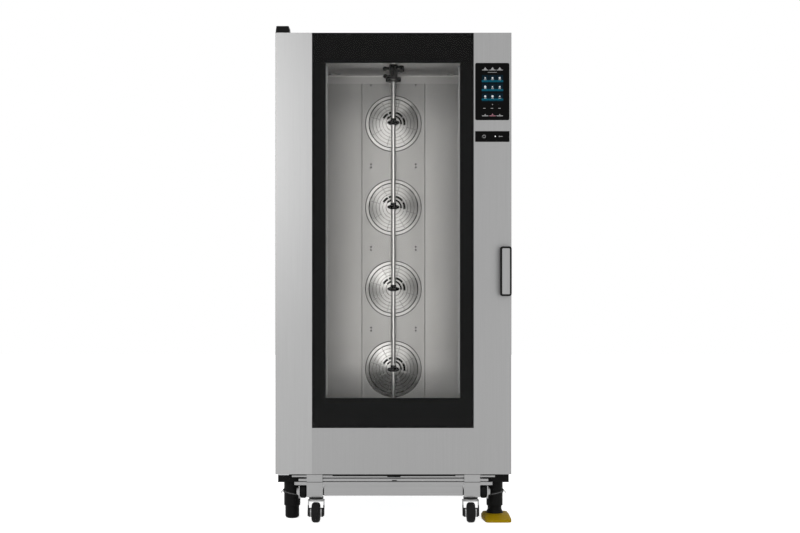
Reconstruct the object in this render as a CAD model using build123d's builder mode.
from build123d import *
from math import cos, radians, sin
import os

# Roll-in steam convection oven with a glazed hinged door and a tray trolley.
# Millimetres. The front faces -Y, +X is the viewer's right, +Z is up.
# The origin is on the floor, below the centre of the whole oven.
os.makedirs("parts", exist_ok=True)

# Whole oven
overall_width = 882.0
overall_depth = 1043.0
overall_height = 1866.0

# Clearances
shaft_play = 0.05
close_gap = 0.3
fit_gap = 0.2

# Body
body_bottom = 174.0
body_inset = 3.0
flue_rise = 36.0
fitting_reach = 16.5
sheet = 1.5
front_plate = 3.0
front_return = 20.0
sill_recess = 47.0
rail_width = 50.0
pan_sheet = 3.0
floor_build = 31.0
ceiling_build = 57.0
rear_bay = 230.0
side_return = 18.0
vent_rows = 14
vent_pitch = 22.0
vent_length = 160.0
vent_height = 7.0

# Cavity
wall_build = 88.0
liner_wall = 2.0
insulation_side = 60.0
insulation_back = 40.0
seal_width = 14.0
seal_inset = 4.0

# Fans, their motors and the cover in front of them
fan_shares = (1.0, 0.658, 0.326, 0.0)
top_fan_drop = 218.0
bottom_fan_rise = 320.0
fan_radius = 115.0
fan_hub_radius = 25.0
fan_depth = 60.0
fan_blades = 18
fan_wall_gap = 25.0
blade_chord = 26.0
blade_sheet = 3.0
blade_end_gap = 2.0
blade_angle = 25.0
hub_setback = 10.0
disc_sheet = 2.0
motor_shaft_radius = 9.5
motor_shaft_length = 50.0
shaft_hole_gap = 2.0
motor_radius = 70.0
motor_length = 140.0
motor_flange_radius = 50.0
motor_flange_thick = 6.0
motor_nose_radius = 30.0
coil_radius = 132.0
coil_tube_radius = 4.0
coil_turns = 3
coil_pitch = 24.0
coil_post_radius = 5.0
coil_posts = 3
cover_stand = 117.0
cover_sheet = 2.0
cover_side_gap = 50.0
cover_drop = 50.0
cover_rise = 142.0
cover_band = 267.0
cover_band_rise = 2.5
cover_flange = 27.0
pillar_radius = 5.0
pillar_offset = 97.0
pillar_drop = 167.0
guard_radius = 121.0
guard_sheet = 1.5
guard_ring_height = 5.0
guard_ring_width = 7.0
guard_slots = 5
guard_slot_start = 31.0
guard_slot_pitch = 16.5
guard_slot_width = 7.0
guard_spokes = 8
guard_spoke_width = 5.0
guard_turn = 33.0

# Washing gear
pipe_radius = 8.5
rotor_lift = 0.5
rotor_reach = 26.0
rotor_height = 19.0
rotor_thickness = 25.0
rotor_collar_radius = 11.7
rotor_collar_height = 8.0
rotor_trim = 0.5
rotor_guard_gap = 4.0
pipe_flange_radius = 11.5
pipe_flange_height = 3.0
pipe_disc_radius = 31.5
pipe_disc_drop = 29.0
pipe_disc_height = 17.0
pipe_neck_radius = 14.0
pipe_tail = 20.0
pipe_foot_height = 12.0
ceiling_rotor_y = -75.0
ceiling_rotor_reach = 44.0
ceiling_hub_radius = 17.0
ceiling_hub_height = 58.0
ceiling_hub_drop = 4.0
ceiling_nozzle_radius = 9.0
ceiling_arm_radius = 6.0
ceiling_arms = ((15, 0.84), (165, 0.74), (-20, 0.56), (200, 0.16))

# Services
flue_radii = (30.0, 25.0)
flue_inset = 100.0
flue_wall = 2.0
flue_step = 1.0
flue_setback = 45.0
drain_radius = 25.0
drain_wall = 2.0
drain_setback = 125.0
drain_height = 120.0
drain_bend = 50.0
inlet_radius = 13.2
inlet_bore = 9.5
inlet_hex = 17.0
inlet_nut = 5.0
inlets = 2
gland_radius = 20.0
gland_bore = 10.0
fitting_height = 420.0
fitting_spacing = 80.0
box_width = 220.0
box_depth = 150.0
box_height = 700.0
box_inset = 36.0

# Door
handle_stand = 48.0
door_thick = 80.0
door_gap = 6.5
door_floor_gap = 5.0
door_top_gap = 2.0
skin = 1.5
frame_sheet = 2.0
column_width = 141.0
strip_width = 137.0
glass_thick = 5.0
lower_panel = 173.0
glass_margin = 51.2
window_side_lap = 16.0
lip_width = 3.8
window_rise = 285.0
window_drop = 112.7
door_corner = 15.0
border_thick = 1.0
border_lap = 6.0
glass_trim_return = 18.0
panel_bend = 1.4
light_bar_width = 21.0
light_bar_depth = 20.0
light_bar_setback = 30.0
drip_height = 24.0
drip_reach = 5.0
drip_level = 4.0

# Hinge
hinge_inset_x = 29.0
hinge_inset_y = 36.0
hinge_pin_radius = 8.0
hinge_boss = 44.0
hinge_engagement = 36.0
hinge_plate = 6.0
lower_hinge_plate = 4.0
hinge_arm_width = 42.0
hinge_arm_lead = 22.0
hinge_seat = 50.0
cap_width = 53.0
cap_depth = 75.0
cap_height = 26.0
cap_corner = 6.0
cap_taper = 7.0
cap_edge = 3.0

# Controls
screen_width = 127.5
screen_height = 213.5
screen_drop = 113.0
screen_proud = 0.8
screen_depth = 12.0
screen_corner = 6.0
screen_inset = 1.25
screen_lap = 3.0
switch_width = 128.0
switch_height = 40.0
switch_gap = 41.0
switch_corner = 2.0
switch_wall = 2.0
button_radius = 9.5
button_inset = 33.0
button_travel = 2.0
button_edge = 0.8

# Handle and latch
handle_width = 42.5
handle_height = 184.0
handle_thick = 26.0
handle_edge = 3.0
handle_corner = 9.0
handle_rise = 666.5
handle_border = 7.0
insert_thick = 1.5
insert_corner = 4.0
handle_pivot_drop = 24.0
handle_boss_radius = 17.0
spindle_radius = 7.0
spindle_seat = 14.0
spindle_wall = 5.0
handle_hole_lap = 4.0
latch_pocket = 20.0
latch_pocket_width = 64.0
latch_pocket_height = 80.0
latch_pocket_lead = 18.0
cam_thick = 4.0
cam_length = 32.0
cam_width = 14.0
cam_hub_wall = 3.0
cam_clearance = 4.0
keeper_thick = 4.0
keeper_height = 12.0
keeper_width = 14.0
keeper_foot = 26.0
keeper_tip = 4.0

# Legs
leg_inset = 56.0
leg_front = 12.0
leg_rear = 75.0
leg_radius = 31.0
foot_radius = 26.5
foot_height = 47.0
foot_round = 10.0
foot_flare = 6.5
foot_flare_height = 13.0
flange_size = 100.0
flange_height = 32.0
flange_edge = 2.0
flange_lap = 1.0
boot_height = 20.0
boot_lip = 11.0
boot_outer = 56.0
boot_inner = 50.0
boot_front = 109.0
boot_back = 34.0
boot_waist = 25.0
boot_slant = 10.0
boot_corner = 16.0
mouth_outer = 48.0
mouth_inner = 44.0
mouth_front = 52.0
mouth_back = 31.0
mouth_waist = 20.0
mouth_slant = 8.0
mouth_corner = 14.0
clamp_height = 10.0
clamp_wall = 3.0
clamp_level = 96.0
clamp_tilt = 12.0
clamp_tab = (24.0, 18.0, 3.0)
clamp_tab_out = 1.0
clamp_tab_rise = 8.0
clamp_tab_tilt = 50.0
roller_radius = 25.5
roller_width = 25.0
roller_edge = 8.0
roller_lead = 70.0
axle_radius = 6.0
cheek_thick = 3.0
cheek_margin = 2.0
cheek_end = 8.0
dish_base = 20.0
dish_rim = 12.0
dish_depth = 9.0

# Trolley
post_width = 59.0
post_depth = 30.0
post_inset = 90.5
post_level = 93.0
post_setback = 3.5
post_head_gap = 2.0
rail_inset = 9.5
swivel_inset = 5.5
bumper_inset = 14.0
bumper_level = 137.5
bumper_height = 11.5
bumper_depth = 21.0
bumper_setback = 4.0
deck_inset = 5.0
deck_thick = 6.0
deck_drop = 6.0
deck_depth = 34.0
deck_setback = 8.0
apron_thick = 3.0
apron_setback = 26.0
step_inset = 30.0
step_level = 151.0
step_height = 9.0
step_depth = 14.0
step_setback = 10.0
neck_inset = 5.0
neck_thick = 9.0
neck_height = 10.0
tongue_thick = 5.0
panel_gap = 5.0
panel_level = 96.0
panel_height = 44.0
panel_setback = 15.0
panel_thick = 12.0
side_rail = 30.0
side_rail_level = 100.0
side_rail_reach = 630.0
rack_side_gap = 25.0
rack_pipe_gap = 16.5
rack_headroom = 173.0
rack_tube = 20.0
tray_count = 16
first_tray = 65.0
tray_headroom = 120.0
runner_width = 20.0
runner_sheet = 2.0
wheel_radius = 37.5
wheel_width = 32.0
wheel_round = 11.0
fork_half = 31.0
fork_sheet = 4.0
fork_crown = 5.0
crown_radius = 27.0
crown_height = 12.0
thread_guard_radius = 17.0
thread_guard_gap = 1.5
fork_arm = 30.0
swivel_trail = 20.0
swivel_pin_radius = 8.0
swivel_pin_height = 22.0
axle_drop = 12.0
axle_half = 11.0
rear_caster_lead = 40.0

# Places worked out from the sizes above
half_width = overall_width / 2
front_y = -overall_depth / 2
back_y = overall_depth / 2
door_front = front_y + handle_stand
door_back = door_front + door_thick
body_front = door_back + door_gap
body_back = back_y - fitting_reach
body_half = half_width - body_inset
body_top = overall_height - flue_rise
door_bottom = body_bottom + door_floor_gap
door_top = body_top - door_top_gap
inner_half = body_half - sheet
frame_back = body_front + front_return
sill_front = body_front + sill_recess
cavity_half = body_half - wall_build
cavity_floor = body_bottom + floor_build
cavity_ceiling = body_top - ceiling_build
cavity_back = body_back - rear_bay
drain_y = cavity_back - drain_setback
liner_half = cavity_half + liner_wall
liner_back = cavity_back + liner_wall
liner_bottom = cavity_floor - liner_wall
liner_top = cavity_ceiling + liner_wall
lowest_fan = cavity_floor + bottom_fan_rise
fan_levels = [lowest_fan + share * (cavity_ceiling - top_fan_drop - lowest_fan) for share in fan_shares]
rotor_levels = [level + rotor_lift for level in fan_levels]
cover_back = cavity_back - cover_stand
cover_face = cover_back - cover_sheet
band_face = cover_face - cover_band_rise
band_back = band_face + cover_sheet
cover_top = cavity_ceiling - cover_drop
cover_bottom = cavity_floor + cover_rise
guard_face = band_face - guard_sheet
pipe_y = guard_face - guard_ring_height - rotor_guard_gap - rotor_reach
fan_back = cavity_back - fan_wall_gap
fan_front = fan_back - fan_depth
hinge_x = -half_width + hinge_inset_x
hinge_y = door_front + hinge_inset_y
glass_left = strip_width - half_width
glass_right = half_width - column_width
glass_bottom = door_bottom + lower_panel
window_left = glass_left + glass_margin
window_right = glass_right - glass_margin
window_bottom = door_bottom + window_rise
window_top = door_top - window_drop
glass_back = door_front + glass_thick
border_back = glass_back + border_thick
handle_x = half_width - handle_width / 2 - body_inset
handle_bottom = door_bottom + handle_rise
handle_top = handle_bottom + handle_height
pivot_z = handle_top - handle_pivot_drop
grip_back = front_y + handle_thick
pocket_floor = door_back - latch_pocket
leg_x = half_width - leg_inset
leg_front_y = body_front + leg_front
leg_rear_y = body_back - leg_rear
flange_bottom = body_bottom - flange_height
post_centre = leg_x - post_inset
trolley_front = door_front + post_setback
deck_top = door_bottom - deck_drop
bumper_half = leg_x - bumper_inset
deck_half = leg_x - deck_inset
step_half = leg_x - step_inset
roller_level = bumper_level - roller_radius - close_gap
neck_front = sill_front - neck_thick - body_inset
rack_bottom = cavity_floor + neck_height
rack_top = cavity_ceiling - rack_headroom
rack_back = pipe_y - rack_pipe_gap
rack_half = cavity_half - rack_side_gap
neck_half = rack_half - neck_inset
panel_half = post_centre - post_width / 2 - panel_gap
tray_pitch = (rack_top - tray_headroom - rack_bottom - first_tray) / (tray_count - 1)


def block(xs, ys, zs, mode=Mode.ADD):
    """Add or cut a rectangular block that fills three pairs of coordinates."""
    centre = ((xs[0] + xs[1]) / 2, (ys[0] + ys[1]) / 2, (zs[0] + zs[1]) / 2)
    with Locations(centre):
        Box(abs(xs[1] - xs[0]), abs(ys[1] - ys[0]), abs(zs[1] - zs[0]), mode=mode)


def rod_x(y, z, radius, xs, mode=Mode.ADD):
    """Add or cut a round bar along X."""
    with Locations(((xs[0] + xs[1]) / 2, y, z)):
        Cylinder(radius, abs(xs[1] - xs[0]), rotation=(0, 90, 0), mode=mode)


def rod_y(x, z, radius, ys, mode=Mode.ADD):
    """Add or cut a round bar along Y."""
    with Locations((x, (ys[0] + ys[1]) / 2, z)):
        Cylinder(radius, abs(ys[1] - ys[0]), rotation=(90, 0, 0), mode=mode)


def rod_z(x, y, radius, zs, mode=Mode.ADD):
    """Add or cut a round bar along Z."""
    with Locations((x, y, (zs[0] + zs[1]) / 2)):
        Cylinder(radius, abs(zs[1] - zs[0]), mode=mode)


def save(part, name):
    """Label a finished piece and write its file."""
    part.label = name
    export_step(part, f"parts/{name}.step")


# Base frame: floor pan on side rails and two cross members
with BuildPart() as base_frame:
    block(
        (-inner_half, inner_half),
        (sill_front, body_back - sheet),
        (liner_bottom - pan_sheet, liner_bottom),
    )
    for side in (-1, 1):
        block(
            (side * (inner_half - rail_width), side * inner_half),
            (frame_back, body_back - sheet),
            (body_bottom, liner_bottom),
        )
    for start in (sill_front, body_back - sheet - rail_width):
        block((-inner_half, inner_half), (start, start + rail_width), (body_bottom, liner_bottom))
    rod_z(0, drain_y, drain_radius, (body_bottom, cavity_floor), Mode.SUBTRACT)
save(base_frame.part, "base_frame")

# Legs: four posts with a square flange under the base
leg_places = [(side * leg_x, y) for y in (leg_front_y, leg_rear_y) for side in (-1, 1)]
with BuildPart() as legs:
    for x, y in leg_places:
        half = flange_size / 2
        block((x - half, x + half), (y - half, y + half), (flange_bottom, body_bottom))
        rod_z(x, y, leg_radius, (foot_height, flange_bottom + flange_lap))
    chamfer(legs.faces().sort_by(Axis.Z)[:4].edges(), flange_edge)
save(legs.part, "legs")

# Feet: screwed into the legs, with a rounded sole
with BuildPart() as leg_feet:
    for x, y in leg_places:
        rod_z(x, y, foot_radius, (0, foot_height))
    fillet(leg_feet.faces().sort_by(Axis.Z)[:4].edges(), foot_round)
    foot_x, foot_y = leg_places[1]
    with Locations((foot_x, foot_y, boot_height + close_gap + foot_flare_height / 2)):
        Cone(foot_radius + foot_flare, foot_radius, foot_flare_height)
save(leg_feet.part, "leg_feet")


def boot_plan(inner, outer, back, waist, front, slant):
    """Corners of the boot's plan; the side that faces the caster slants away from it."""
    return [
        (foot_x - inner, foot_y + back),
        (foot_x - inner, foot_y - waist),
        (foot_x - inner + slant, foot_y - front),
        (foot_x + outer, foot_y - front),
        (foot_x + outer, foot_y + back),
    ]


# Boot: a soft low cup that guards the front right foot and reaches out in front of it
boot_base = boot_plan(boot_inner, boot_outer, boot_back, boot_waist, boot_front, boot_slant)
boot_top = boot_plan(mouth_inner, mouth_outer, mouth_back, mouth_waist, mouth_front, mouth_slant)
with BuildPart() as foot_boot:
    with BuildSketch(Plane.XY) as boot_floor:
        with BuildLine():
            Polyline(*boot_base, close=True)
        make_face()
        fillet(boot_floor.vertices(), boot_corner)
    extrude(amount=boot_lip)
    with BuildSketch(Plane.XY.offset(boot_lip)) as boot_ledge:
        with BuildLine():
            Polyline(*boot_base, close=True)
        make_face()
        fillet(boot_ledge.vertices(), boot_corner)
    with BuildSketch(Plane.XY.offset(boot_height)) as boot_rim:
        with BuildLine():
            Polyline(*boot_top, close=True)
        make_face()
        fillet(boot_rim.vertices(), mouth_corner)
    loft([boot_ledge.sketch, boot_rim.sketch], ruled=True)
    rod_z(foot_x, foot_y, foot_radius + fit_gap, (0, boot_height), Mode.SUBTRACT)
save(foot_boot.part, "foot_boot")

# Leg clamps: a tilted band on each front leg with the cheek plate of a guide roller
cheek_x = leg_x - leg_radius - close_gap
roller_y = leg_front_y - roller_lead
with BuildPart() as leg_clamps:
    for side in (-1, 1):
        with Locations(Location((side * leg_x, leg_front_y, clamp_level), (0, -side * clamp_tilt, 0))):
            Cylinder(leg_radius + clamp_wall, clamp_height)
        block(
            (side * (cheek_x - cheek_thick), side * cheek_x),
            (roller_y - roller_radius + cheek_margin, leg_front_y - cheek_end),
            (roller_level - roller_radius + cheek_margin, roller_level + roller_radius - cheek_margin),
        )
        rod_x(
            roller_y,
            roller_level,
            axle_radius,
            (side * cheek_x, side * (cheek_x - cheek_thick - close_gap - roller_width)),
        )
        with Locations(Location((side * (cheek_x + dish_depth / 2), roller_y, roller_level), (0, side * 90, 0))):
            Cone(dish_base, dish_rim, dish_depth)
        tab_x = side * (leg_x + leg_radius + clamp_wall + clamp_tab_out)
        with Locations(
            Location((tab_x, leg_front_y, clamp_level + clamp_tab_rise), (0, side * clamp_tab_tilt, 0)),
        ):
            Box(*clamp_tab)
        rod_z(side * leg_x, leg_front_y, leg_radius + shaft_play, (foot_height, flange_bottom), Mode.SUBTRACT)
save(leg_clamps.part, "leg_clamps")

# Guide rollers on the clamps
for side, name in ((-1, "docking_roller_left"), (1, "docking_roller_right")):
    roller_start = cheek_x - cheek_thick - close_gap
    with BuildPart() as docking_roller:
        rod_x(
            roller_y,
            roller_level,
            roller_radius,
            (side * roller_start, side * (roller_start - roller_width)),
        )
        fillet(docking_roller.edges().filter_by(GeomType.CIRCLE), roller_edge)
        rod_x(
            roller_y,
            roller_level,
            axle_radius + shaft_play,
            (side * roller_start, side * (roller_start - roller_width)),
            Mode.SUBTRACT,
        )
    save(docking_roller.part, name)

# Front frame: jambs and header around the mouth of the cavity
with BuildPart() as front_frame:
    block((-body_half, body_half), (body_front, body_front + front_plate), (body_bottom, body_top))
    block(
        (-cavity_half - front_plate, cavity_half + front_plate),
        (body_front, frame_back),
        (body_bottom, cavity_ceiling + front_plate),
    )
    block(
        (-cavity_half, cavity_half),
        (body_front, frame_back),
        (body_bottom, cavity_ceiling),
        Mode.SUBTRACT,
    )
save(front_frame.part, "front_frame")

# Side panels
for side, name in ((-1, "side_panel_left"), (1, "side_panel_right")):
    with BuildPart() as side_panel:
        block(
            (side * inner_half, side * body_half),
            (body_front + front_plate, body_back),
            (body_bottom, body_top),
        )
        block(
            (side * (inner_half - side_return), side * inner_half),
            (body_front + front_plate, body_front + front_plate + sheet),
            (cavity_floor, body_top - sheet - front_return),
        )
    save(side_panel.part, name)

# Rear panel with cooling slots beside the motors
with BuildPart() as rear_panel:
    block((-inner_half, inner_half), (body_back - sheet, body_back), (body_bottom, body_top - sheet))
    with BuildSketch(Plane.XZ.offset(-body_back)) as rear_vents:
        for side in (-1, 1):
            with Locations((side * inner_half / 2, (cavity_floor + cavity_ceiling) / 2)):
                with GridLocations(1, vent_pitch, 1, vent_rows):
                    SlotOverall(vent_length, vent_height)
    extrude(amount=sheet, mode=Mode.SUBTRACT)
save(rear_panel.part, "rear_panel")

# Roof panel with the flue holes
flue_y = cavity_back - flue_setback
flue_offset = cavity_half - flue_inset
with BuildPart() as roof_panel:
    block(
        (-inner_half, inner_half),
        (body_front + front_plate, body_back),
        (body_top - sheet, body_top),
    )
    for side, radius in zip((-1, 1), flue_radii):
        hole = radius + flue_step + close_gap
        rod_z(side * flue_offset, flue_y, hole, (body_top - sheet, body_top), Mode.SUBTRACT)
save(roof_panel.part, "roof_panel")

# Cavity liner: the cooking chamber's walls
with BuildPart() as cavity_liner:
    block((-liner_half, liner_half), (frame_back, liner_back), (liner_bottom, liner_top))
    block(
        (-cavity_half, cavity_half),
        (frame_back, cavity_back),
        (cavity_floor, cavity_ceiling),
        Mode.SUBTRACT,
    )
    block((-cavity_half, cavity_half), (frame_back, sill_front), (liner_bottom, cavity_floor), Mode.SUBTRACT)
    for level in fan_levels:
        rod_y(0, level, motor_shaft_radius + shaft_hole_gap, (cavity_back, liner_back), Mode.SUBTRACT)
    for side, radius in zip((-1, 1), flue_radii):
        rod_z(side * flue_offset, flue_y, radius - flue_wall, (cavity_ceiling, liner_top), Mode.SUBTRACT)
    rod_z(0, drain_y, drain_radius - drain_wall, (liner_bottom, cavity_floor), Mode.SUBTRACT)
    for y in (pipe_y, ceiling_rotor_y):
        rod_z(0, y, pipe_neck_radius, (cavity_ceiling, liner_top), Mode.SUBTRACT)
save(cavity_liner.part, "cavity_liner")

# Insulation round the liner
lagging_half = liner_half + insulation_side
lagging_back = liner_back + insulation_back
lagging_top = liner_top + insulation_back
with BuildPart() as cavity_insulation:
    block((-lagging_half, lagging_half), (frame_back, lagging_back), (liner_bottom, lagging_top))
    block((-liner_half, liner_half), (frame_back, liner_back), (liner_bottom, liner_top), Mode.SUBTRACT)
    for side in (-1, 1):
        block(
            (side * (inner_half - rail_width), side * lagging_half),
            (frame_back, sill_front),
            (liner_bottom, cavity_floor),
            Mode.SUBTRACT,
        )
    for level in fan_levels:
        rod_y(0, level, motor_flange_radius + shaft_hole_gap, (liner_back, lagging_back), Mode.SUBTRACT)
    for side, radius in zip((-1, 1), flue_radii):
        hole = radius + flue_step + close_gap
        rod_z(side * flue_offset, flue_y, hole, (liner_top, lagging_top), Mode.SUBTRACT)
    for y in (pipe_y, ceiling_rotor_y):
        rod_z(0, y, pipe_neck_radius + close_gap, (liner_top, lagging_top), Mode.SUBTRACT)
save(cavity_insulation.part, "cavity_insulation")

# Door seal on the front frame: two legs and a top run
seal_inner = cavity_half + seal_inset
seal_top = cavity_ceiling + seal_inset + seal_width
with BuildPart() as cavity_seal:
    block(
        (-seal_inner - seal_width, seal_inner + seal_width),
        (door_back + close_gap, body_front),
        (door_bottom, seal_top),
    )
    block(
        (-seal_inner, seal_inner),
        (door_back + close_gap, body_front),
        (door_bottom, seal_top - seal_width),
        Mode.SUBTRACT,
    )
save(cavity_seal.part, "cavity_seal")

# Fan cover: a pressed sheet with a raised band and one hole per fan
band_half = cover_band / 2
cover_half = cavity_half - cover_side_gap
lean = cover_band_rise
with BuildPart() as fan_cover:
    with BuildSketch(Plane.XY.offset(cover_bottom)) as cover_profile:
        with BuildLine() as cover_outline:
            Polyline(
                (0, band_face),
                (band_half - lean, band_face),
                (band_half, cover_face),
                (cover_half, cover_face),
                (cover_half, cover_back + cover_flange),
                (cover_half - cover_sheet, cover_back + cover_flange),
                (cover_half - cover_sheet, cover_back),
                (band_half - cover_sheet, cover_back),
                (band_half - lean - cover_sheet, band_back),
                (0, band_back),
                close=True,
            )
        make_face()
        mirror(about=Plane.YZ)
    extrude(amount=cover_top - cover_bottom)
    for level in fan_levels:
        rod_y(0, level, guard_radius - guard_ring_width, (band_face, band_back), Mode.SUBTRACT)
    for level in (cover_top - pillar_radius, *[level - pillar_drop for level in fan_levels]):
        for side in (-1, 1):
            rod_y(side * pillar_offset, level, pillar_radius, (band_back, cavity_back))
save(fan_cover.part, "fan_cover")

# Fan guards: pressed discs with ring slots, spokes and a raised rim
with BuildPart() as fan_guards:
    for level in fan_levels:
        with BuildSketch(Plane.XZ.offset(-band_face)) as guard_plate:
            with Locations((0, level)):
                Circle(guard_radius)
            for n in reversed(range(guard_slots)):
                middle = guard_slot_start + guard_slot_pitch * n
                with Locations((0, level)):
                    Circle(middle + guard_slot_width / 2, mode=Mode.SUBTRACT)
                    Circle(middle - guard_slot_width / 2)
            with Locations((0, level)):
                with PolarLocations(guard_radius / 2, guard_spokes, start_angle=guard_turn):
                    Rectangle(guard_radius - fit_gap, guard_spoke_width)
        extrude(amount=guard_sheet)
        with BuildSketch(Plane.XZ.offset(-guard_face)) as guard_rim:
            with Locations((0, level)):
                Circle(guard_radius)
                Circle(guard_radius - guard_ring_width, mode=Mode.SUBTRACT)
        extrude(amount=guard_ring_height)
save(fan_guards.part, "fan_guards")

# Fans: a hub on its shaft, a back disc, a ring of blades and a front ring
for number, level in enumerate(fan_levels, 1):
    with BuildPart() as fan:
        rod_y(0, level, motor_shaft_radius, (fan_front, liner_back + motor_shaft_length))
        rod_y(0, level, fan_hub_radius, (fan_front + hub_setback, fan_back))
        rod_y(0, level, fan_radius, (fan_back - disc_sheet, fan_back))
        with BuildSketch(Plane.XZ.offset(-fan_back)) as blade_row:
            with Locations((0, level)):
                with PolarLocations(fan_radius - blade_chord / 2, fan_blades):
                    Rectangle(blade_chord - 2 * blade_end_gap, blade_sheet, rotation=blade_angle)
        extrude(amount=fan_depth)
        with BuildSketch(Plane.XZ.offset(-fan_front)) as front_ring:
            with Locations((0, level)):
                Circle(fan_radius)
                Circle(fan_radius - blade_chord, mode=Mode.SUBTRACT)
        extrude(amount=-disc_sheet)
    save(fan.part, f"fan_{number}")

# Fan motors on the back of the liner
motor_front = liner_back + insulation_back
with BuildPart() as fan_motors:
    for level in fan_levels:
        rod_y(0, level, motor_flange_radius, (liner_back, liner_back + motor_flange_thick))
        rod_y(0, level, motor_nose_radius, (liner_back, motor_front))
        rod_y(0, level, motor_radius, (motor_front, motor_front + motor_length))
        rod_y(
            0,
            level,
            motor_shaft_radius + shaft_play,
            (liner_back, liner_back + motor_shaft_length + close_gap),
            Mode.SUBTRACT,
        )
save(fan_motors.part, "fan_motors")

# Heating coils: ring elements round each fan on three posts
coil_front = fan_back - (coil_turns - 1) * coil_pitch
with BuildPart() as heating_coils:
    for level in fan_levels:
        for turn in range(coil_turns):
            with Locations(Location((0, coil_front + turn * coil_pitch, level), (90, 0, 0))):
                Torus(coil_radius, coil_tube_radius)
        for post in range(coil_posts):
            angle = radians(90 + 360 / coil_posts * post)
            rod_y(
                coil_radius * cos(angle),
                level + coil_radius * sin(angle),
                coil_post_radius,
                (coil_front - coil_post_radius, cavity_back),
            )
save(heating_coils.part, "heating_coils")

# Washing pipe in front of the fans, and the short feed of the ceiling rotor
pipe_bottom = fan_levels[-1] - guard_radius - pipe_tail
rotor_low = rotor_height / 2
rotor_high = rotor_height / 2 + rotor_collar_height
ceiling_rotor_top = cavity_ceiling - ceiling_hub_drop
ceiling_rotor_bottom = ceiling_rotor_top - ceiling_hub_height
with BuildPart() as wash_pipe:
    rod_z(0, pipe_y, pipe_radius, (pipe_bottom, cavity_ceiling))
    rod_z(
        0,
        pipe_y,
        pipe_disc_radius,
        (cavity_ceiling - pipe_disc_drop - pipe_disc_height, cavity_ceiling - pipe_disc_drop),
    )
    rod_z(0, pipe_y, pipe_neck_radius, (cavity_ceiling - pipe_disc_drop, lagging_top))
    block((-pipe_radius, pipe_radius), (pipe_y, band_face), (pipe_bottom, pipe_bottom + pipe_foot_height))
    for level in rotor_levels:
        for start in (level - rotor_low - close_gap - pipe_flange_height, level + rotor_high + close_gap):
            rod_z(0, pipe_y, pipe_flange_radius, (start, start + pipe_flange_height))
    rod_z(0, ceiling_rotor_y, pipe_radius, (ceiling_rotor_bottom - pipe_flange_height, cavity_ceiling))
    rod_z(0, ceiling_rotor_y, pipe_neck_radius, (ceiling_rotor_top + close_gap, lagging_top))
    rod_z(
        0,
        ceiling_rotor_y,
        pipe_flange_radius,
        (ceiling_rotor_bottom - close_gap - pipe_flange_height, ceiling_rotor_bottom - close_gap),
    )
save(wash_pipe.part, "wash_pipe")

# Wash rotors on the pipe
for number, level in enumerate(rotor_levels, 1):
    with BuildPart() as wash_rotor:
        with BuildSketch(Plane.XZ.offset(-pipe_y - rotor_thickness / 2)) as wing:
            with Locations((0, level)):
                Ellipse(rotor_reach - rotor_trim, rotor_height / 2)
        extrude(amount=rotor_thickness)
        rod_z(0, pipe_y, rotor_collar_radius, (level - rotor_low, level + rotor_high))
        rod_z(
            0,
            pipe_y,
            pipe_radius + shaft_play,
            (level - rotor_low - 1, level + rotor_high + 1),
            Mode.SUBTRACT,
        )
    save(wash_rotor.part, f"wash_rotor_{number}")

# Ceiling rotor: a hub with four short spray arms on two levels
arm_run = ceiling_rotor_reach - ceiling_nozzle_radius
with BuildPart() as ceiling_rotor:
    rod_z(0, ceiling_rotor_y, ceiling_hub_radius, (ceiling_rotor_bottom, ceiling_rotor_top))
    for angle, share in ceiling_arms:
        arm_z = ceiling_rotor_bottom + share * ceiling_hub_height
        tip = (arm_run * cos(radians(angle)), ceiling_rotor_y + arm_run * sin(radians(angle)), arm_z)
        with Locations(tip):
            Sphere(ceiling_nozzle_radius)
        with Locations(Location((0, ceiling_rotor_y, arm_z), (0, 0, angle))):
            with Locations(Location((arm_run / 2, 0, 0), (0, 90, 0))):
                Cylinder(ceiling_arm_radius, arm_run)
    rod_z(
        0,
        ceiling_rotor_y,
        pipe_radius + shaft_play,
        (ceiling_rotor_bottom, ceiling_rotor_top),
        Mode.SUBTRACT,
    )
save(ceiling_rotor.part, "ceiling_rotor")

# Exhaust flues
with BuildPart() as exhaust_flues:
    for side, radius in zip((-1, 1), flue_radii):
        rod_z(side * flue_offset, flue_y, radius, (liner_top, overall_height))
        rod_z(side * flue_offset, flue_y, radius + flue_step, (liner_top, body_top))
    for side, radius in zip((-1, 1), flue_radii):
        rod_z(side * flue_offset, flue_y, radius - flue_wall, (liner_top, overall_height), Mode.SUBTRACT)
save(exhaust_flues.part, "exhaust_flues")

# Drain pipe from the floor to the back
with BuildPart() as drain_pipe:
    with BuildLine() as drain_route:
        FilletPolyline(
            (0, drain_y, liner_bottom),
            (0, drain_y, drain_height),
            (0, back_y, drain_height),
            radius=drain_bend,
        )
    with BuildSketch(Plane.XY.offset(liner_bottom)) as drain_section:
        with Locations((0, drain_y)):
            Circle(drain_radius)
            Circle(drain_radius - drain_wall, mode=Mode.SUBTRACT)
    sweep()
save(drain_pipe.part, "drain_pipe")

# Water inlets and the cable gland on the rear panel
fitting_x = inner_half - inlets * fitting_spacing
with BuildPart() as utility_fittings:
    for step in range(inlets):
        x = fitting_x + step * fitting_spacing
        with BuildSketch(Plane.XZ.offset(-body_back)) as inlet_flats:
            with Locations((x, fitting_height)):
                RegularPolygon(inlet_hex, 6)
        extrude(amount=-inlet_nut)
        rod_y(x, fitting_height, inlet_radius, (body_back, back_y))
        rod_y(x, fitting_height, inlet_bore, (body_back, back_y), Mode.SUBTRACT)
    rod_y(fitting_x, fitting_height + fitting_spacing, gland_radius, (body_back, back_y))
    rod_y(fitting_x, fitting_height + fitting_spacing, gland_bore, (body_back, back_y), Mode.SUBTRACT)
save(utility_fittings.part, "utility_fittings")

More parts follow.
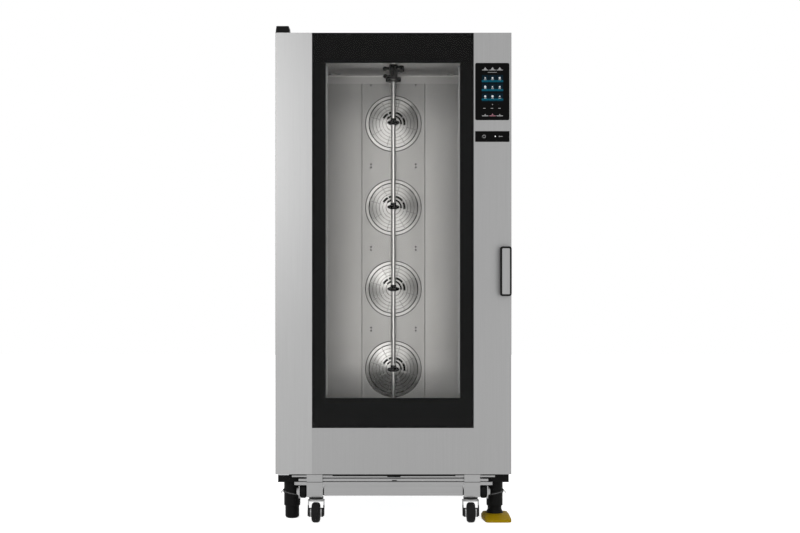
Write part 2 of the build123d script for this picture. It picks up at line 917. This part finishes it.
# Electronics box on the rear panel
box_back = body_back - sheet
box_bottom = (cavity_floor + cavity_ceiling - box_height) / 2
box_right = inner_half - box_inset
with BuildPart() as electronics_box:
    block(
        (box_right - box_width, box_right),
        (box_back - box_depth, box_back),
        (box_bottom, box_bottom + box_height),
    )
    offset(amount=-sheet, openings=electronics_box.faces().sort_by(Axis.Y)[-1])
save(electronics_box.part, "electronics_box")

# Hinge brackets: a top arm and a bottom plate, each with its pin
arm_left = hinge_x - hinge_arm_width / 2
arm_right = hinge_x + hinge_arm_width / 2
with BuildPart() as hinge_brackets:
    block(
        (arm_left, arm_right),
        (hinge_y - hinge_arm_lead, body_front + hinge_seat),
        (body_top, body_top + hinge_plate),
    )
    rod_z(hinge_x, hinge_y, hinge_pin_radius, (door_top - hinge_engagement, body_top + hinge_plate))
    block(
        (arm_left, arm_right),
        (hinge_y - hinge_arm_lead, body_front),
        (body_bottom, body_bottom + lower_hinge_plate),
    )
    rod_z(hinge_x, hinge_y, hinge_pin_radius, (body_bottom, door_bottom + hinge_engagement))
save(hinge_brackets.part, "hinge_brackets")

# Hinge cap over the top arm
cap_front = door_front + post_setback
cap_bottom = door_top + close_gap * 2
with BuildPart() as hinge_cap:
    with BuildSketch(Plane.XY.offset(cap_bottom)) as cap_base:
        with Locations((-half_width + cap_width / 2, cap_front + cap_depth / 2)):
            RectangleRounded(cap_width, cap_depth, cap_corner)
    extrude(amount=cap_height, taper=cap_taper)
    fillet(hinge_cap.faces().sort_by(Axis.Z)[-1].edges(), cap_edge)
    block(
        (arm_left - fit_gap, arm_right + fit_gap),
        (hinge_y - hinge_arm_lead - fit_gap, body_front + hinge_seat),
        (cap_bottom, body_top + hinge_plate),
        Mode.SUBTRACT,
    )
save(hinge_cap.part, "hinge_cap")

# Latch keeper on the right jamb
cam_low = pivot_z - cam_width / 2
keeper_x = handle_x - cam_length + keeper_width / 2
with BuildPart() as latch_striker:
    block(
        (keeper_x - keeper_width, keeper_x + keeper_width),
        (body_front - keeper_thick, body_front),
        (cam_low - keeper_height - keeper_foot, cam_low - close_gap * 2),
    )
    block(
        (keeper_x - keeper_width / 2, keeper_x + keeper_width / 2),
        (pocket_floor + keeper_thick, body_front),
        (cam_low - keeper_height, cam_low - keeper_height + keeper_thick),
    )
    block(
        (keeper_x - keeper_width / 2, keeper_x + keeper_width / 2),
        (pocket_floor + keeper_thick - keeper_tip / 2, pocket_floor + keeper_thick + keeper_tip / 2),
        (cam_low - keeper_height, cam_low - close_gap * 2),
    )
save(latch_striker.part, "latch_striker")

# Door frame: a folded tray with a window tunnel, hinge bosses and a latch pocket
tray_half = half_width - skin - fit_gap
tray_front = door_front + skin
tunnel_left = window_left - window_side_lap
tunnel_right = window_right + window_side_lap
tunnel_bottom = window_bottom - window_side_lap
tunnel_top = window_top + window_side_lap
boss_x = (-tray_half, -tray_half + hinge_boss)
boss_y = (hinge_y - hinge_boss / 2, hinge_y + hinge_boss / 2)
pocket_x = (handle_x - latch_pocket_width + latch_pocket_lead, handle_x + latch_pocket_lead)
pocket_z = (pivot_z - latch_pocket_height / 2, pivot_z + latch_pocket_height / 2)
wall = frame_sheet
with BuildPart() as door_frame:
    block((-tray_half, tray_half), (tray_front, door_back), (door_bottom, door_top))
    corner_edges = door_frame.edges().filter_by(Axis.Z).sort_by(lambda e: e.center().X - e.center().Y)
    chamfer(corner_edges[0], door_corner)
    block(
        (-tray_half + wall, tray_half - wall),
        (tray_front, door_back - door_corner),
        (door_bottom + wall, door_top - wall),
        Mode.SUBTRACT,
    )
    block(
        (-tray_half + wall + door_corner, tray_half - wall),
        (tray_front, door_back - wall),
        (door_bottom + wall, door_top - wall),
        Mode.SUBTRACT,
    )
    block(
        (tunnel_left - wall, tunnel_right + wall),
        (border_back, door_back),
        (tunnel_bottom - wall, tunnel_top + wall),
    )
    block(
        (tunnel_left, tunnel_right),
        (border_back, door_back - wall),
        (tunnel_bottom, tunnel_top),
        Mode.SUBTRACT,
    )
    block(
        (tunnel_left + lip_width, tunnel_right - lip_width),
        (border_back, door_back),
        (tunnel_bottom + lip_width, tunnel_top - lip_width),
        Mode.SUBTRACT,
    )
    for level in (door_top - hinge_engagement, door_bottom):
        block(boss_x, boss_y, (level, level + hinge_engagement))
    block(
        (pocket_x[0] - wall, pocket_x[1] + wall),
        (pocket_floor - wall, door_back),
        (pocket_z[0] - wall, pocket_z[1] + wall),
    )
    block(pocket_x, (pocket_floor, door_back), pocket_z, Mode.SUBTRACT)
    rod_y(handle_x, pivot_z, spindle_radius + spindle_wall, (tray_front, pocket_floor))
    rod_y(handle_x, pivot_z, spindle_radius + shaft_play, (tray_front, pocket_floor), Mode.SUBTRACT)
    block((glass_left, glass_right), (tray_front, border_back), (glass_bottom, door_top), Mode.SUBTRACT)
    rod_z(hinge_x, hinge_y, hinge_pin_radius + shaft_play, (door_bottom, door_top), Mode.SUBTRACT)
save(door_frame.part, "door_frame")

# Left door panel: the full height strip on the hinge side
with BuildPart() as door_left_panel:
    block((-half_width, glass_left), (door_front, tray_front), (door_bottom, door_top))
    block((-half_width, -half_width + skin), (door_front, door_back - door_corner), (door_bottom, door_top))
    block(
        (glass_left - skin, glass_left),
        (door_front, door_front + glass_trim_return),
        (door_bottom + wall, door_top - wall),
    )
    fillet(
        door_left_panel.edges().filter_by(Axis.Z).sort_by(lambda e: e.center().X + e.center().Y)[0],
        panel_bend,
    )
save(door_left_panel.part, "door_left_panel")

# Front door panel: the control column and the strip below the glass, in one sheet
screen_x = half_width - column_width / 2 - screen_inset
screen_z = (door_top - screen_drop - screen_height, door_top - screen_drop)
switch_z = (screen_z[0] - switch_gap - switch_height, screen_z[0] - switch_gap)
with BuildPart() as door_front_panel:
    block((glass_right, half_width), (door_front, tray_front), (door_bottom, door_top))
    block((glass_left + fit_gap, glass_right), (door_front, tray_front), (door_bottom, glass_bottom))
    block((half_width - skin, half_width), (door_front, door_back), (door_bottom, door_top))
    block(
        (glass_right, glass_right + skin),
        (door_front, door_front + glass_trim_return),
        (glass_bottom, door_top - wall),
    )
    block(
        (glass_left + fit_gap, glass_right + skin),
        (door_front, door_front + glass_trim_return),
        (glass_bottom - skin, glass_bottom),
    )
    fillet(
        door_front_panel.edges().filter_by(Axis.Z).sort_by(lambda e: e.center().Y - e.center().X)[0],
        panel_bend,
    )
    with BuildSketch(Plane.XZ.offset(-door_front)) as control_holes:
        with Locations((screen_x, (screen_z[0] + screen_z[1]) / 2)):
            RectangleRounded(screen_width + fit_gap, screen_height + fit_gap, screen_corner)
        with Locations((screen_x, (switch_z[0] + switch_z[1]) / 2)):
            RectangleRounded(switch_width + fit_gap, switch_height + fit_gap, switch_corner)
        with Locations((handle_x, pivot_z)):
            Circle(handle_boss_radius - handle_hole_lap)
    extrude(amount=-skin, mode=Mode.SUBTRACT)
save(door_front_panel.part, "door_front_panel")

# Outer glass and the dark border behind it
with BuildPart() as outer_glass:
    block(
        (glass_left + fit_gap, glass_right - fit_gap),
        (door_front, glass_back),
        (glass_bottom + fit_gap, door_top - fit_gap),
    )
save(outer_glass.part, "outer_glass")
with BuildPart() as glass_border:
    block(
        (glass_left + fit_gap, glass_right - fit_gap),
        (glass_back, border_back),
        (glass_bottom + fit_gap, door_top - fit_gap),
    )
    block((window_left, window_right), (glass_back, border_back), (window_bottom, window_top), Mode.SUBTRACT)
save(glass_border.part, "glass_border")

# Inner glass against the lip of the window tunnel
with BuildPart() as inner_glass:
    block(
        (tunnel_left + fit_gap, tunnel_right - fit_gap),
        (door_back - wall - glass_thick, door_back - wall),
        (tunnel_bottom + fit_gap, tunnel_top - fit_gap),
    )
save(inner_glass.part, "inner_glass")

# Light bars on the tunnel's side walls
with BuildPart() as door_light_bars:
    for wall_x, inwards in ((tunnel_left, 1), (tunnel_right, -1)):
        block(
            (wall_x, wall_x + inwards * light_bar_width),
            (door_front + light_bar_setback, door_front + light_bar_setback + light_bar_depth),
            (window_bottom + border_lap, window_top - border_lap),
        )
save(door_light_bars.part, "door_light_bars")

# Drip channel across the foot of the door
with BuildPart() as door_drip_channel:
    block(
        (-rack_half, rack_half),
        (door_back, door_back + drip_reach),
        (door_bottom + drip_level, door_bottom + drip_level + drip_height),
    )
    block(
        (-rack_half + skin, rack_half - skin),
        (door_back, door_back + drip_reach - skin),
        (door_bottom + drip_level + skin, door_bottom + drip_level + drip_height),
        Mode.SUBTRACT,
    )
save(door_drip_channel.part, "door_drip_channel")

# Touch screen, seated behind the front panel's hole
with BuildPart() as touch_screen:
    with BuildSketch(Plane.XZ.offset(-tray_front)) as screen_face:
        with Locations((screen_x, (screen_z[0] + screen_z[1]) / 2)):
            RectangleRounded(screen_width, screen_height, screen_corner)
    extrude(amount=skin + screen_proud)
    block(
        (screen_x - screen_width / 2 - screen_lap, screen_x + screen_width / 2 + screen_lap),
        (tray_front, tray_front + screen_depth),
        (screen_z[0] - screen_lap, screen_z[1] + screen_lap),
    )
save(touch_screen.part, "touch_screen")

# Switch panel with the bore of the power button
button_x = screen_x - switch_width / 2 + button_inset
button_z = (switch_z[0] + switch_z[1]) / 2
with BuildPart() as switch_panel:
    with BuildSketch(Plane.XZ.offset(-tray_front)) as switch_face:
        with Locations((screen_x, button_z)):
            RectangleRounded(switch_width, switch_height, switch_corner)
    extrude(amount=skin + screen_proud)
    block(
        (screen_x - switch_width / 2 - screen_lap, screen_x + switch_width / 2 + screen_lap),
        (tray_front, tray_front + screen_depth),
        (switch_z[0] - screen_lap, switch_z[1] + screen_lap),
    )
    rod_y(
        button_x,
        button_z,
        button_radius + close_gap,
        (door_front - screen_proud, tray_front + screen_depth - switch_wall),
        Mode.SUBTRACT,
    )
save(switch_panel.part, "switch_panel")

# Power button
button_front = door_front - screen_proud - button_travel
button_back = tray_front + screen_depth - switch_wall - button_travel - close_gap
with BuildPart() as power_button:
    rod_y(button_x, button_z, button_radius, (button_front, button_back))
    fillet(power_button.faces().sort_by(Axis.Y)[0].edges(), button_edge)
save(power_button.part, "power_button")

# Handle grip: a flat lever hanging from its pivot, with a recess for the insert
grip_z = (handle_bottom + handle_top) / 2
with BuildPart() as handle_grip:
    with BuildSketch(Plane.XZ.offset(-grip_back)) as grip_outline:
        with Locations((handle_x, grip_z)):
            RectangleRounded(handle_width, handle_height, handle_corner)
    extrude(amount=handle_thick)
    fillet(handle_grip.faces().sort_by(Axis.Y)[0].edges(), handle_edge)
    fillet(handle_grip.faces().sort_by(Axis.Y)[-1].edges(), handle_edge * 2)
    with BuildSketch(Plane.XZ.offset(-front_y)) as insert_recess:
        with Locations((handle_x, grip_z)):
            RectangleRounded(
                handle_width - 2 * handle_border,
                handle_height - 2 * handle_border,
                insert_corner,
            )
    extrude(amount=-insert_thick, mode=Mode.SUBTRACT)
    rod_y(handle_x, pivot_z, handle_boss_radius, (grip_back - handle_hole_lap, door_front - close_gap))
    rod_y(
        handle_x,
        pivot_z,
        spindle_radius,
        (grip_back - spindle_seat, door_front - close_gap),
        Mode.SUBTRACT,
    )
save(handle_grip.part, "handle_grip")
with BuildPart() as handle_insert:
    with BuildSketch(Plane.XZ.offset(-front_y - insert_thick)) as insert_face:
        with Locations((handle_x, grip_z)):
            RectangleRounded(
                handle_width - 2 * handle_border - fit_gap,
                handle_height - 2 * handle_border - fit_gap,
                insert_corner,
            )
    extrude(amount=insert_thick)
save(handle_insert.part, "handle_insert")

# Latch spindle through the door, with its cam in the pocket
cam_front = pocket_floor + keeper_thick + cam_clearance
cam_y = (cam_front, cam_front + cam_thick)
with BuildPart() as latch_spindle:
    rod_y(handle_x, pivot_z, spindle_radius, (grip_back - spindle_seat, cam_y[1]))
    rod_y(handle_x, pivot_z, cam_width / 2 + cam_hub_wall, cam_y)
    block((handle_x - cam_length, handle_x), cam_y, (cam_low, pivot_z + cam_width / 2))
save(latch_spindle.part, "latch_spindle")

# Trolley base: posts, bars and panel under the door, side rails, and the neck into the cavity
deck_front = trolley_front + deck_setback
post_top = door_bottom - post_head_gap
post_back = trolley_front + post_depth
rail_x = post_centre - rail_inset
swivel_x = post_centre - swivel_inset
swivel_y = trolley_front + post_depth / 2
with BuildPart() as trolley_base:
    for side in (-1, 1):
        block(
            (side * (post_centre - post_width / 2), side * (post_centre + post_width / 2)),
            (trolley_front, post_back),
            (post_level, post_top),
        )
        block(
            (side * (rail_x - side_rail / 2), side * (rail_x + side_rail / 2)),
            (post_back, trolley_front + side_rail_reach),
            (side_rail_level, side_rail_level + side_rail),
        )
    with BuildSketch(Plane.XY.offset(bumper_level)) as bumper_plan:
        with Locations((0, trolley_front + bumper_setback + bumper_depth / 2)):
            SlotOverall(2 * bumper_half, bumper_depth)
    extrude(amount=bumper_height)
    block((-deck_half, deck_half), (deck_front, deck_front + deck_depth), (deck_top - deck_thick, deck_top))
    block(
        (-step_half, step_half),
        (trolley_front + step_setback, trolley_front + step_setback + step_depth),
        (step_level, step_level + step_height),
    )
    block(
        (-post_centre, post_centre),
        (trolley_front + apron_setback, trolley_front + apron_setback + apron_thick),
        (bumper_level, deck_top),
    )
    block(
        (-panel_half, panel_half),
        (trolley_front + panel_setback, trolley_front + panel_setback + panel_thick),
        (panel_level, panel_level + panel_height),
    )
    block((-neck_half, neck_half), (deck_front, neck_front + neck_thick), (deck_top - tongue_thick, deck_top))
    block(
        (-neck_half, neck_half),
        (neck_front, neck_front + neck_thick),
        (deck_top - tongue_thick, rack_bottom),
    )
    for side in (-1, 1):
        rod_z(
            side * swivel_x,
            swivel_y,
            swivel_pin_radius + shaft_play,
            (post_level, post_level + swivel_pin_height + close_gap),
            Mode.SUBTRACT,
        )
save(trolley_base.part, "trolley_base")

# Trolley rack: two side ladders that carry the tray runners, joined at their feet so that the window stays clear
upright_steps = (neck_front, (neck_front + rack_back - rack_tube) / 2, rack_back - rack_tube)
with BuildPart() as trolley_rack:
    for side in (-1, 1):
        for y in upright_steps:
            block(
                (side * (rack_half - rack_tube), side * rack_half),
                (y, y + rack_tube),
                (rack_bottom, rack_top),
            )
        for z in (rack_bottom, rack_top - rack_tube):
            block(
                (side * (rack_half - rack_tube), side * rack_half),
                (neck_front, rack_back),
                (z, z + rack_tube),
            )
    for y in (neck_front, rack_back - rack_tube):
        block((-rack_half, rack_half), (y, y + rack_tube), (rack_bottom, rack_bottom + rack_tube))
save(trolley_rack.part, "trolley_rack")

# Tray runners: angles on the inner faces of the uprights
runner_outer = rack_half - rack_tube
with BuildPart() as tray_runners:
    for n in range(tray_count):
        z = rack_bottom + first_tray + n * tray_pitch
        for side in (-1, 1):
            block(
                (side * (runner_outer - runner_width), side * runner_outer),
                (neck_front, rack_back),
                (z, z + runner_sheet),
            )
            block(
                (side * (runner_outer - runner_sheet), side * runner_outer),
                (neck_front, rack_back),
                (z, z + runner_width),
            )
save(tray_runners.part, "tray_runners")

# Casters: swivel forks in front, fixed forks behind
crown_top = post_level - close_gap
crown_low = crown_top - crown_height
bridge_low = crown_low - fork_sheet
for side, name in ((-1, "caster_fork_left"), (1, "caster_fork_right")):
    axle_y = swivel_y - swivel_trail
    with BuildPart() as caster_fork:
        rod_z(side * swivel_x, swivel_y, swivel_pin_radius, (crown_low, post_level + swivel_pin_height))
        rod_z(side * swivel_x, swivel_y, crown_radius, (crown_low, crown_top))
        block(
            (side * swivel_x - fork_half, side * swivel_x + fork_half),
            (swivel_y - fork_arm / 2, swivel_y + fork_arm / 2),
            (bridge_low, crown_low),
        )
        for cheek in (-1, 1):
            outer = side * swivel_x + cheek * fork_half
            with BuildSketch(Plane.YZ.offset(outer)) as cheek_face:
                with BuildLine() as cheek_outline:
                    Polyline(
                        (swivel_y - fork_arm / 2, crown_low),
                        (swivel_y + fork_arm / 2, crown_low),
                        (axle_y + axle_half, wheel_radius - axle_drop),
                        (axle_y - axle_half, wheel_radius - axle_drop),
                        close=True,
                    )
                make_face()
            extrude(amount=-cheek * fork_sheet)
            rod_x(
                axle_y,
                wheel_radius,
                thread_guard_radius,
                (
                    side * swivel_x + cheek * (wheel_width / 2 + thread_guard_gap),
                    side * swivel_x + cheek * (fork_half - fork_sheet),
                ),
            )
        rod_x(
            axle_y,
            wheel_radius,
            axle_radius,
            (side * swivel_x - fork_half, side * swivel_x + fork_half),
        )
    save(caster_fork.part, name)
rear_axle_y = trolley_front + side_rail_reach - rear_caster_lead
with BuildPart() as rear_caster_forks:
    for side in (-1, 1):
        block(
            (side * rail_x - fork_half, side * rail_x + fork_half),
            (rear_axle_y - fork_arm, rear_axle_y + fork_arm),
            (side_rail_level - fork_crown, side_rail_level),
        )
        for cheek in (-1, 1):
            block(
                (side * rail_x + cheek * (fork_half - fork_sheet), side * rail_x + cheek * fork_half),
                (rear_axle_y - fork_arm / 2, rear_axle_y + fork_arm / 2),
                (wheel_radius - axle_drop, side_rail_level),
            )
        rod_x(rear_axle_y, wheel_radius, axle_radius, (side * rail_x - fork_half, side * rail_x + fork_half))
save(rear_caster_forks.part, "rear_caster_forks")

# Caster wheels
wheel_places = {
    "front_wheel_left": (-swivel_x, swivel_y - swivel_trail),
    "front_wheel_right": (swivel_x, swivel_y - swivel_trail),
    "rear_wheel_left": (-rail_x, rear_axle_y),
    "rear_wheel_right": (rail_x, rear_axle_y),
}
for name, (x, y) in wheel_places.items():
    with BuildPart() as wheel:
        rod_x(y, wheel_radius, wheel_radius, (x - wheel_width / 2, x + wheel_width / 2))
        fillet(wheel.edges().filter_by(GeomType.CIRCLE), wheel_round)
        rod_x(
            y,
            wheel_radius,
            axle_radius + shaft_play,
            (x - wheel_width / 2, x + wheel_width / 2),
            Mode.SUBTRACT,
        )
    save(wheel.part, name)

print("fan levels", [round(level, 1) for level in fan_levels])
print("hinge axis", hinge_x, hinge_y)
print("handle pivot", handle_x, pivot_z)
print("power button", button_x, button_z)
print("washing pipe", 0, pipe_y, "ceiling rotor", 0, ceiling_rotor_y)
print("swivels", swivel_x, swivel_y, "front axle", swivel_y - swivel_trail, "rear axle", rail_x, rear_axle_y)
print("guide rollers", cheek_x, roller_y, roller_level)
print("cavity", cavity_half, cavity_floor, cavity_ceiling, cavity_back, "sill", sill_front)
print("flues", flue_offset, flue_y, "drain", drain_y, drain_height)
print("fittings", fitting_x, fitting_height)
